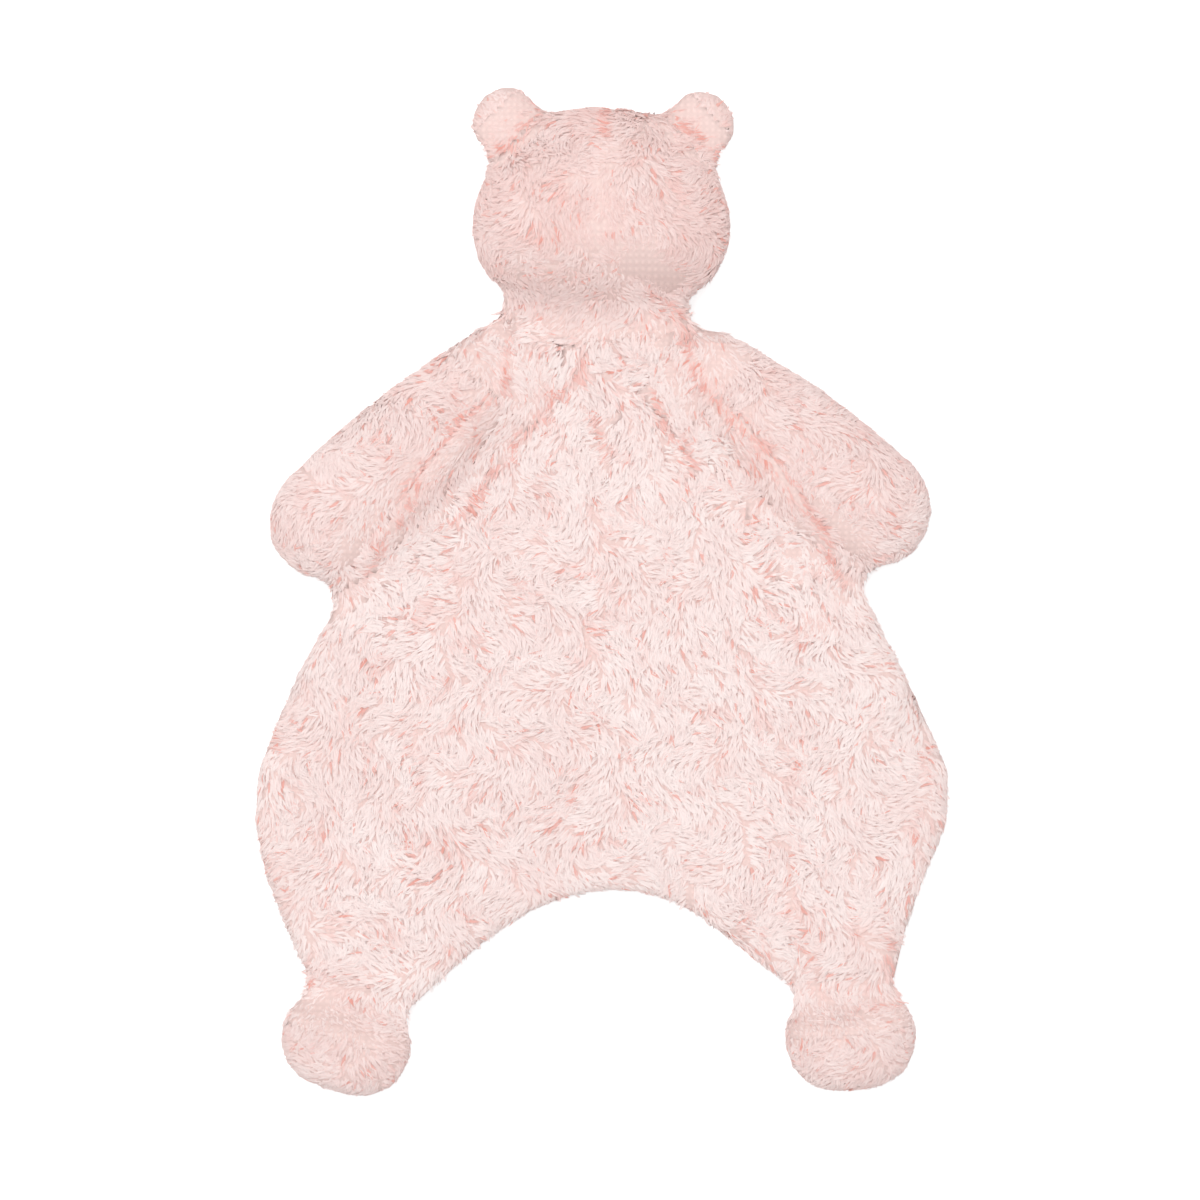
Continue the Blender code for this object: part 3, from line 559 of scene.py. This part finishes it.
def scatter(surface, per_area, rng):
    """Spots spread evenly over a surface: their triangles, their weights in them, and their turns.

    They step through the summed area evenly, and inside a triangle by the plane's golden steps.
    A triangle's turn is the matrix that takes its edges to the change of normal along them.
    """
    points, triangles, normals = surface
    corners = points[triangles]
    edges = np.stack([corners[:, 1] - corners[:, 0], corners[:, 2] - corners[:, 0],
                      np.cross(corners[:, 1] - corners[:, 0], corners[:, 2] - corners[:, 0])], axis=1)
    total = np.cumsum(np.linalg.norm(edges[:, 2], axis=1) / 2)
    edges[:, 2] = unit(edges[:, 2])
    ends = normals[triangles]
    changes = ends - ends[:, :1]
    changes = np.stack([changes[:, 1], changes[:, 2], changes[:, 0]], axis=1)
    turn = np.linalg.solve(edges + 1e-12 * np.eye(3), changes)
    count = int(total[-1] * per_area)
    order = np.arange(count)
    face = np.searchsorted(total, (order + rng.random(count)) / count * total[-1])
    face = np.minimum(face, len(triangles) - 1)
    share = order[:, None] * GOLDEN_STEPS % 1
    share = np.where(share.sum(1, keepdims=True) > 1, 1 - share, share)
    return face, np.column_stack([1 - share.sum(1), share]), turn[face]


def swirl(spots, scale, seed, waves=10):
    """Smooth noise of about unit size: a sum of sine waves in random directions, scale apart."""
    rng = np.random.default_rng(seed)
    ways = unit(rng.normal(size=(waves, 3))) * rng.uniform(0.6, 1.4, (waves, 1)) * 2 * math.pi / scale
    return np.sin(spots @ ways.T + rng.uniform(0, 2 * math.pi, waves)).sum(1) / math.sqrt(waves / 2)


# A cell's luck comes from its three counts by these large numbers.
CELL_PRIMES = np.array([73856093, 19349663, 83492791], np.uint64)
SEED_PRIME = 2654435761
MIX_FACTOR = np.uint64(6364136223846793005)
MIX_STEP = np.uint64(1442695040888963407)


def luck_of(cells, count, seed):
    """Random numbers that a grid cell always gets again: its three counts mixed by large primes."""
    cells = cells.astype(np.int64).astype(np.uint64) * CELL_PRIMES
    key = cells[:, 0] ^ cells[:, 1] ^ cells[:, 2] ^ np.uint64(seed * SEED_PRIME)
    found = []
    for _ in range(count):
        key = key * MIX_FACTOR + MIX_STEP
        found.append((key >> np.uint64(33)).astype(float) / 2**31)
    return np.stack(found, axis=1)


def tuft_of(spots, size, seed):
    """The nearest centre to each spot in a jittered grid of that size, its luck, and the border's nearness.

    The last is how much further the second nearest centre is: 0 on a border between two.
    """
    cell = np.floor(spots / size)
    best, second = np.full(len(spots), np.inf), np.full(len(spots), np.inf)
    centre, luck = np.zeros_like(spots), np.zeros((len(spots), 7))
    for step in np.ndindex(3, 3, 3):
        near = cell + np.array(step) - 1
        draw = luck_of(near, 7, seed)
        there = (near + draw[:, :3]) * size
        gap = np.linalg.norm(spots - there, axis=1)
        closer = gap < best
        second = np.where(closer, best, np.minimum(second, gap))
        best[closer], centre[closer], luck[closer] = gap[closer], there[closer], draw[closer]
    return centre, luck[:, 3:], second - best


def beside(points, lines):
    """The distance in plan from points to the nearest of the lines, and the way in plan away from it."""
    best = np.full(len(points), np.inf)
    away = np.zeros_like(points)
    for line in lines:
        for start, end in zip(np.array(line[:-1]), np.array(line[1:])):
            along = end - start
            share = np.clip((points[:, :2] - start) @ along / (along @ along), 0, 1)
            gap = points[:, :2] - start - share[:, None] * along
            distance = np.linalg.norm(gap, axis=1)
            closer = distance < best
            best[closer] = distance[closer]
            away[closer, :2] = gap[closer]
    return best, unit(away)


def smooth_step(share):
    """From 0 to 1 with level ends: 3 share squared less 2 share cubed."""
    share = np.clip(share, 0, 1)
    return share * share * (3 - 2 * share)


# Where the lay flows from, and where it turns down over the neck and over an edge.
LAY_CENTRE = (0.0, 0.15, 0.0)
HEAD_START = (0.0035, 0.142, 0.03)
LIMB_BACK = 0.03
NECK_REACH = 0.026
EDGE_FALL = 3.0


def lay_on(body, spots, out):
    """Which way the pile lies: away from the neck on the blanket, and along each part from its seam.

    On the head it parts from the crown and falls straight down over the neck. Where the flow heads
    over an edge it falls, and comes back underneath.
    """
    if body == "blanket":
        flow = spots - np.array(LAY_CENTRE)
    elif body == "head":
        flow = unit(spots - np.array(HEAD_START))
        down = smooth_step(1 - (spots[:, 1] - joints["head"]["place"][1]) / NECK_REACH)[:, None]
        flow = flow * (1 - down) + down * np.array([0, -1.0, 0])
    else:
        flow = spots - (joints[body]["place"] - LIMB_BACK * joints[body]["ahead"])
    flow = unit(flow * (1, 1, 0))
    over = np.maximum((flow * out).sum(1), 0)
    return unit(flow - EDGE_FALL * over[:, None] * np.array([0, 0, 1.0]))


# A lock: its fibres, how far it runs, how it leans with its tuft and with the swings of the lay.
LOCK_FIBRES = 6
LOCK_RADIUS = 0.0006
LOCK_TURN = 0.22
LOCK_TALL = 0.04
LOCK_CURL = 0.0009
PILE_RUN = 0.0040
RUN_POWER = 1.2
RUN_LUCK = 0.3
RUN_STRAY = 0.15
BEND_LIMITS = (-0.9, 1.1)
TUFT_SIZE = 0.0065
TUFT_TURN = 1.6
TUFT_DRAW = 0.35
TUFT_LUCK = 0.12
SWING = 0.75
SWING_SPAN = 0.026
CALM = 1.0
SWELL_NOISE = 0.06
SWELL_SPAN = 0.012
SLIT_LEAN = 0.5

# A fibre: a ribbon of five triangles, its half width at its stations, and how its front faces.
STATIONS = np.array([0.0, 0.34, 0.68, 1.0])
FULLNESS = np.array([1.0, 1.0, 0.75])
RIBBON = np.array([[0, 1, 3], [0, 3, 2], [2, 3, 5], [2, 5, 4], [4, 5, 6]])
FIBRE_HALF_WIDTH = 0.00016
FIBRE_WIDTHS = (0.75, 1.3)
FIBRE_TAPER = 0.7
FIBRE_LUCK = 0.12
FIBRE_STRAY = 0.00015
FLOOR_CLEAR = 0.0002
FLOOR_SPREAD = 0.0004
UPWARD_SHARE = 1.5
UPWARD_LEAST = -0.9
FACING_STRAY = 0.1

# Its colour: coral painted shade along parting lines, on the borders of tufts and in scattered strokes,
# where the parted pile falls into shade.
TONE_STRAY = 0.1
TONE_LUCK = 0.25
PARTING_WIDTH = 0.0011
PARTING_DEPTH = 0.7
BORDER_WIDTH = 0.0005
BORDER_DEPTH = 0.3
STROKE_SPAN = 0.012
STROKE_SHARE = 0.045
STROKE_LEAST = 0.4
STROKE_DEPTH = 0.75


def pile(spots, out, turn, lay, tone, length, seed):
    """Fibres that grow at spots: ribbon corners, shading normals, and each corner's level, tone and painted
    crease shade.

    A lock rises along the normal as 1 - (1 - t) squared, runs along its lay as a power of t, and
    bends with the surface by half its curvature times the run squared. It swings about its lay in
    tufts, less where the surface bends much. Nothing goes under the floor.
    """
    rng = np.random.default_rng(seed)
    count = len(spots)
    centre, luck, border = tuft_of(spots, TUFT_SIZE, seed)
    # Painted shade: coral along the creases, folds and seams, on the tufts' borders and in scattered
    # strokes, where the pile parts and falls into shade.
    parting = beside(spots, ARM_CREASES + BODY_FOLDS + HEAD_SEAMS + SLIT)[0]
    parted = np.exp(-(parting / PARTING_WIDTH) ** 2)
    patchy = np.clip(swirl(spots, STROKE_SPAN, seed + 2), 0, 1)
    crease_shade = PARTING_DEPTH * parted + BORDER_DEPTH * patchy * np.exp(-(border / BORDER_WIDTH) ** 2)
    crease_shade += STROKE_DEPTH * (rng.random(count) < STROKE_SHARE * (STROKE_LEAST + patchy))
    distance, away = beside(spots, SLIT)
    lay = lay + SLIT_LEAN * np.exp(-(distance / PILE_RUN) ** 2)[:, None] * away
    along = unit(lay - (lay * out).sum(1, keepdims=True) * out)
    across = np.cross(out, along)
    swung = SWING * swirl(spots, SWING_SPAN, seed) + TUFT_TURN * (luck[:, 0] - 0.5)
    swung += LOCK_TURN * rng.normal(size=count)
    swung = swung / (1 + CALM * (turn**2).sum((1, 2)) * PILE_RUN**2)
    along = np.cos(swung)[:, None] * along + np.sin(swung)[:, None] * across
    inward = centre - spots
    inward -= (inward * out).sum(1, keepdims=True) * out
    along = unit(along + TUFT_DRAW * inward / TUFT_SIZE)
    across = np.cross(out, along)
    tall = 1 + SWELL_NOISE * swirl(spots, SWELL_SPAN, seed + 1) + TUFT_LUCK * (luck[:, 1] - 0.5)
    tall = PILE_DEPTH * length * (tall + LOCK_TALL * rng.normal(size=count))
    far = PILE_RUN * length * (1 + RUN_LUCK * (luck[:, 2] - 0.5) + RUN_STRAY * rng.normal(size=count))
    curl = LOCK_CURL * rng.normal(size=count)
    bend = np.clip(np.einsum("ni,nij,nj->n", along, turn, along) * far, *BEND_LIMITS)
    up = UPWARD_SHARE * np.clip(out[:, 2] - UPWARD_LEAST, 0, 1)
    facing = unit(out + up[:, None] * np.array([0, 0, 1.0]))

    # Each lock's fibres: where they start in the lock, and how they differ
    lock = np.repeat(np.arange(count), LOCK_FIBRES)
    angle = rng.uniform(0, 2 * math.pi, len(lock))
    radius = LOCK_RADIUS * np.sqrt(rng.random(len(lock)))
    start = np.cos(angle)[:, None] * along[lock] + np.sin(angle)[:, None] * across[lock]
    start *= radius[:, None]
    scale = 1 + FIBRE_LUCK * rng.normal(size=(len(lock), 1, 1))
    t = STATIONS[None, :, None]
    ran = far[lock, None, None] * t**RUN_POWER * scale
    fall = (bend * far)[lock, None, None] / 2 * (t**RUN_POWER * scale) ** 2
    rise = tall[lock, None, None] * (1 - (1 - t) ** 2) * scale
    run = along[lock, None] * ran - out[lock, None] * fall
    run += across[lock, None] * curl[lock, None, None] * t**2
    line = (spots[lock, None] + run + out[lock, None] * rise + start[:, None] * (1 - FIBRE_TAPER * t)
            + FIBRE_STRAY * rng.normal(size=(len(lock), len(STATIONS), 3)) * t)
    line[..., 2] = np.maximum(line[..., 2], FLOOR_CLEAR + FLOOR_SPREAD * rng.random((len(lock), 1)))

    # Ribbons: broad across the fibre, their fronts away from the skin
    facing = unit(facing[lock] + FACING_STRAY * rng.normal(size=(len(lock), 3)))
    facing = unit(facing[:, None] + along[lock, None] * bend[lock, None, None] * t)
    wide = unit(np.cross(np.gradient(line, axis=1), facing))
    half = FIBRE_HALF_WIDTH * FULLNESS[None, :, None] * rng.uniform(*FIBRE_WIDTHS, (len(lock), 1, 1))
    left, right = line[:, :3] - wide[:, :3] * half, line[:, :3] + wide[:, :3] * half
    pairs = np.stack([left, right], axis=2).reshape(len(lock), 6, 3)
    corners = np.concatenate([pairs, line[:, 3:]], axis=1)
    corners[..., 2] = np.maximum(corners[..., 2], FLOOR_CLEAR / 2)
    facing = np.concatenate([np.repeat(facing[:, :3], 2, axis=1), facing[:, 3:]], axis=1)
    level = np.broadcast_to(np.concatenate([np.repeat(STATIONS[:3], 2), STATIONS[3:]]), (len(lock), 7))
    tone = tone[lock] + TONE_STRAY * rng.normal(size=len(lock)) + TONE_LUCK * (luck[lock, 3] - 0.5)
    crease_shade = np.clip(crease_shade, 0, 1)[lock]
    return corners, facing, level, *(np.repeat(values[:, None], 7, axis=1) for values in (tone, crease_shade))


MOST_FIBRES = 38000


def coats(name, slot, grown, picked, body=None, blend=None):
    """Pieces of pile that share out the picked locks' fibres, each under the most fibres.

    A ribbon's face that would show its back towards its shading normal is turned over.
    """
    picked = np.repeat(picked, LOCK_FIBRES)
    grown = [values[picked] for values in grown]
    share = math.ceil(len(grown[0]) / MOST_FIBRES)
    for k in range(share):
        corners, facing, *marks = (values[k::share] for values in grown)
        faces = (RIBBON[None] + 7 * np.arange(len(corners))[:, None, None]).reshape(-1, 3)
        corners, facing = corners.reshape(-1, 3), facing.reshape(-1, 3)
        first, second, third = (corners[faces[:, side]] for side in range(3))
        behind = (np.cross(second - first, third - first) * facing[faces].sum(1)).sum(1) < 0
        faces[behind] = faces[behind][:, ::-1]
        piece = solid_from(f"{name}_{k + 1}" if share > 1 else name, corners, faces, pile_finish)
        piece.data.normals_split_custom_set_from_vertices(facing.tolist())
        for key, values in zip(("level", "tone", "crease_shade"), marks):
            attribute = piece.data.attributes.new(key, "FLOAT", "POINT")
            attribute.data.foreach_set("value", np.ascontiguousarray(values, np.float32).ravel())
        if blend:
            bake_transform(piece)
        else:
            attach(piece, body)


# Each body's share of the pile's length and of its pale tone, how far a seam's blend reaches, how the
# pile shortens near the eyes and the nose, and from which gap on the skin counts as a bridge.
LENGTHS = {"blanket": 1.0, "head": 0.95, "left_ear": 0.6, "right_ear": 0.6, "left_arm": 0.95,
           "right_arm": 0.95, "left_foot": 0.85, "right_foot": 0.85}
TONES = {"blanket": 0.78, "head": 0.2, "left_ear": 0.35, "right_ear": 0.35, "left_arm": 0.5,
         "right_arm": 0.45, "left_foot": 0.45, "right_foot": 0.45}
BLEND_REACH = {"head": 0.010, "left_ear": 0.005, "right_ear": 0.005, "left_arm": 0.009,
               "right_arm": 0.009, "left_foot": 0.008, "right_foot": 0.008}
JOINT_HALF_SPAN = {"head": 0.030, "left_ear": 0.015, "right_ear": 0.015, "left_arm": 0.022,
                   "right_arm": 0.022, "left_foot": 0.019, "right_foot": 0.019}
FACE_CLEAR = 0.0012
FACE_SHORT = 0.008
FACE_LEAST_SHARE = 0.3
BRIDGE_LEAST = 0.0008
BRIDGE_GAP = 0.0014

pile_finish = plush("plush_pile", ROOT_SHADE_COLOUR, SHADE_COLOUR, TIP_COLOUR, CORAL_CREASE_SHADE)
solids_of = {body: panels_of(body) for body in TONES}
for limb in STUFFED:
    solids_of[limb].append(limb + "_stuffing")
solids_of["head"].append("muzzle")
joints = {}
for joint in frame["joints"]:
    place, axis = np.array(joint["pos_m"]), np.array(joint["axis"])
    ahead = np.cross(axis, [0, 0, 1.0])
    middle = packed(solids_of[joint["child"]])[0].mean(0)
    ahead *= np.sign((middle - place) @ ahead)
    joints[joint["child"]] = {"place": place, "axis": axis, "ahead": ahead, "parent": joint["parent"]}

points, triangles, normals = skin_over([node for nodes in solids_of.values() for node in nodes])
found = [nearest(points, nodes) for nodes in solids_of.values()]
gaps = np.stack([np.linalg.norm(points - near, axis=1) for near in found], axis=1)
bridged = np.stack([((points - near) * normals).sum(1) for near in found], axis=1) > BRIDGE_LEAST
bridged |= gaps > BRIDGE_GAP
skin = offset((points, triangles, normals), -PILE_DEPTH)

rng = np.random.default_rng(11)
face, weight, turn = scatter(skin, LOCKS_PER_M2, rng)
corner = triangles[face]
out = unit((normals[corner] * weight[:, :, None]).sum(1))
spots = (skin[0][corner] * weight[:, :, None]).sum(1)
kept = rng.random(len(spots)) < np.where(out[:, 2] < HIDDEN_SLOPE, UNDERSIDE_SHARE, 1.0)
corner, weight, turn, out, spots = (values[kept] for values in (corner, weight, turn, out, spots))
owner = (gaps[corner] * weight[:, :, None]).sum(1).argmin(1)

bodies = list(solids_of)
lay = np.zeros_like(spots)
for k, body in enumerate(bodies):
    lay[owner == k] = lay_on(body, spots[owner == k], out[owner == k])
tone = np.array(list(TONES.values()))[owner]
length = np.array(list(LENGTHS.values()))[owner]
front = (owner == bodies.index("head")) & (out[:, 2] < 0)
clear = np.linalg.norm(spots[front] - nearest(spots[front], ["left_eye", "right_eye", "nose"]), axis=1)
length[front] *= np.clip(clear / FACE_SHORT, FACE_LEAST_SHARE, 1) * (clear > FACE_CLEAR)
crossing = np.full(len(spots), -1)
for k, (child, joint) in enumerate(joints.items()):
    pair = bodies.index(joint["parent"]), bodies.index(child)
    away = spots - joint["place"]
    share = (away @ joint["ahead"] / BLEND_REACH[child] + 1) / 2
    inside = (share > 0) & (share < 1) & np.isin(owner, pair)
    inside &= abs(away @ joint["axis"]) < JOINT_HALF_SPAN[child]
    part = smooth_step(share[inside])
    ends = [lay_on(body, spots[inside], out[inside]) for body in (joint["parent"], child)]
    lay[inside] = unit(ends[0] * (1 - part[:, None]) + ends[1] * part[:, None])
    for values, table in ((tone, TONES), (length, LENGTHS)):
        values[inside] = table[joint["parent"]] * (1 - part) + table[child] * part
    crossing[inside] = k

grown = pile(spots, out, turn, lay, tone, length, 21)
for k, body in enumerate(bodies):
    mine = (owner == k) & (crossing < 0) & (length > 0)
    if body == "blanket":
        coats("upper_pile", "plush_back", grown, mine & (out[:, 2] > 0), body)
        coats("lower_pile", "plush_front", grown, mine & (out[:, 2] <= 0), body)
    else:
        coats(body + "_pile", "plush_head" if "ear" in body else STUFFED[body], grown, mine, body)


# Strips of cloth: those at the seams of the head, the ears, the arms and the feet, and the
# edges of the covers that bulge into the creases between the parts.
LEAST_STRIP = 300


def strip(name, wanted, body=None, blend=None):
    """The picked triangles of the skin as a narrow sheet under the pile."""
    used, index = np.unique(triangles[wanted], return_inverse=True)
    picked = skin[0][used] + UNDERFUR * normals[used], index.reshape(-1, 3), normals[used]
    corners = picked[0][picked[1]]
    area = np.cross(corners[:, 1] - corners[:, 0], corners[:, 2] - corners[:, 0])
    area = float(np.linalg.norm(area, axis=1).sum() / 2)
    piece = with_wall(name, picked, CLOTH_WALL, cloth_finish)
    if blend:
        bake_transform(piece)
    else:
        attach(piece, body)


slots = {body: "plush_head" if "ear" in body else STUFFED.get(body, "plush_back") for body in bodies}
centres = skin[0][triangles].mean(1)
holder = gaps[triangles].mean(1).argmin(1)
free = np.full(len(triangles), True)
for k, (child, joint) in enumerate(joints.items()):
    reach = BLEND_REACH[child] * joint["ahead"]
    blend = joint["parent"], child, joint["place"] - reach, joint["place"] + reach
    coats(child + "_seam_pile", slots[child], grown, crossing == k, blend=blend)
    away = centres - joint["place"]
    pair = [bodies.index(joint["parent"]), bodies.index(child)]
    inside = abs(away @ joint["ahead"]) < BLEND_REACH[child]
    inside &= abs(away @ joint["axis"]) < JOINT_HALF_SPAN[child]
    inside &= free & np.isin(holder, pair)
    strip(child + "_seam_cloth", inside, blend=blend)
    free &= ~inside
for k, body in enumerate(bodies):
    wanted = free & (holder == k) & bridged[triangles, k].any(1)
    if wanted.sum() > LEAST_STRIP:
        strip(body + "_crease_cloth", wanted, body=body)


# Where it lies: a pale floor under a soft studio light, seen from straight above.
VIEW_HEIGHT = 1.5
VIEW_SPAN = 0.346
VIEW_MIDDLE = (-0.00043, -0.00187)
SENSOR_MM = 36.0
LAMP_PLACE = (-0.12, 0.16, 1.5)
LAMP_SIZE = 0.7
LAMP_POWER = 12.4
SKY = 0.56
FLOOR_REACH = 3.0
FLOOR_GLOW = 0.6

camera = bpy.data.cameras.new("camera")
camera.sensor_width = SENSOR_MM
camera.lens = SENSOR_MM * VIEW_HEIGHT / VIEW_SPAN
eye = bpy.data.objects.new("camera", camera)
eye.location = (*VIEW_MIDDLE, VIEW_HEIGHT)
bpy.context.scene.collection.objects.link(eye)
bpy.context.scene.camera = eye

lamp = bpy.data.lights.new("soft_lamp", "AREA")
lamp.shape = "DISK"
lamp.size = LAMP_SIZE
lamp.energy = LAMP_POWER
lamp_object = bpy.data.objects.new("soft_lamp", lamp)
lamp_object.location = LAMP_PLACE
lamp_object.rotation_euler = lamp_object.location.to_track_quat("Z", "Y").to_euler()
bpy.context.scene.collection.objects.link(lamp_object)

world = bpy.data.worlds.new("studio")
world.use_nodes = True
sky = world.node_tree.nodes["Background"]
paths = world.node_tree.nodes.new("ShaderNodeLightPath")
level = Value(world.node_tree, paths.outputs["Is Camera Ray"]) * (1 - SKY) + SKY
level.feeds(sky.inputs["Strength"])
sky.inputs["Color"].default_value = (1, 1, 1, 1)
bpy.context.scene.world = world

floor = solid_from("floor", np.array([[-1.0, -1, 0], [1, -1, 0], [1, 1, 0], [-1, 1, 0]]) * FLOOR_REACH,
                   np.array([[0, 1, 2, 3]]), None)
floor_finish, floor_shader, floor_place = new_finish("pale_floor", 0.9)
floor_shader.inputs["Base Color"].default_value = (0.75, 0.75, 0.75, 1)
glow = floor_place.out("ShaderNodeLightPath", "Is Camera Ray") * FLOOR_GLOW
glow.feeds(floor_shader.inputs["Emission Strength"])
floor_shader.inputs["Emission Color"].default_value = (1, 1, 1, 1)
floor.data.materials[0] = floor_finish

bpy.context.scene.view_settings.view_transform = "Standard"
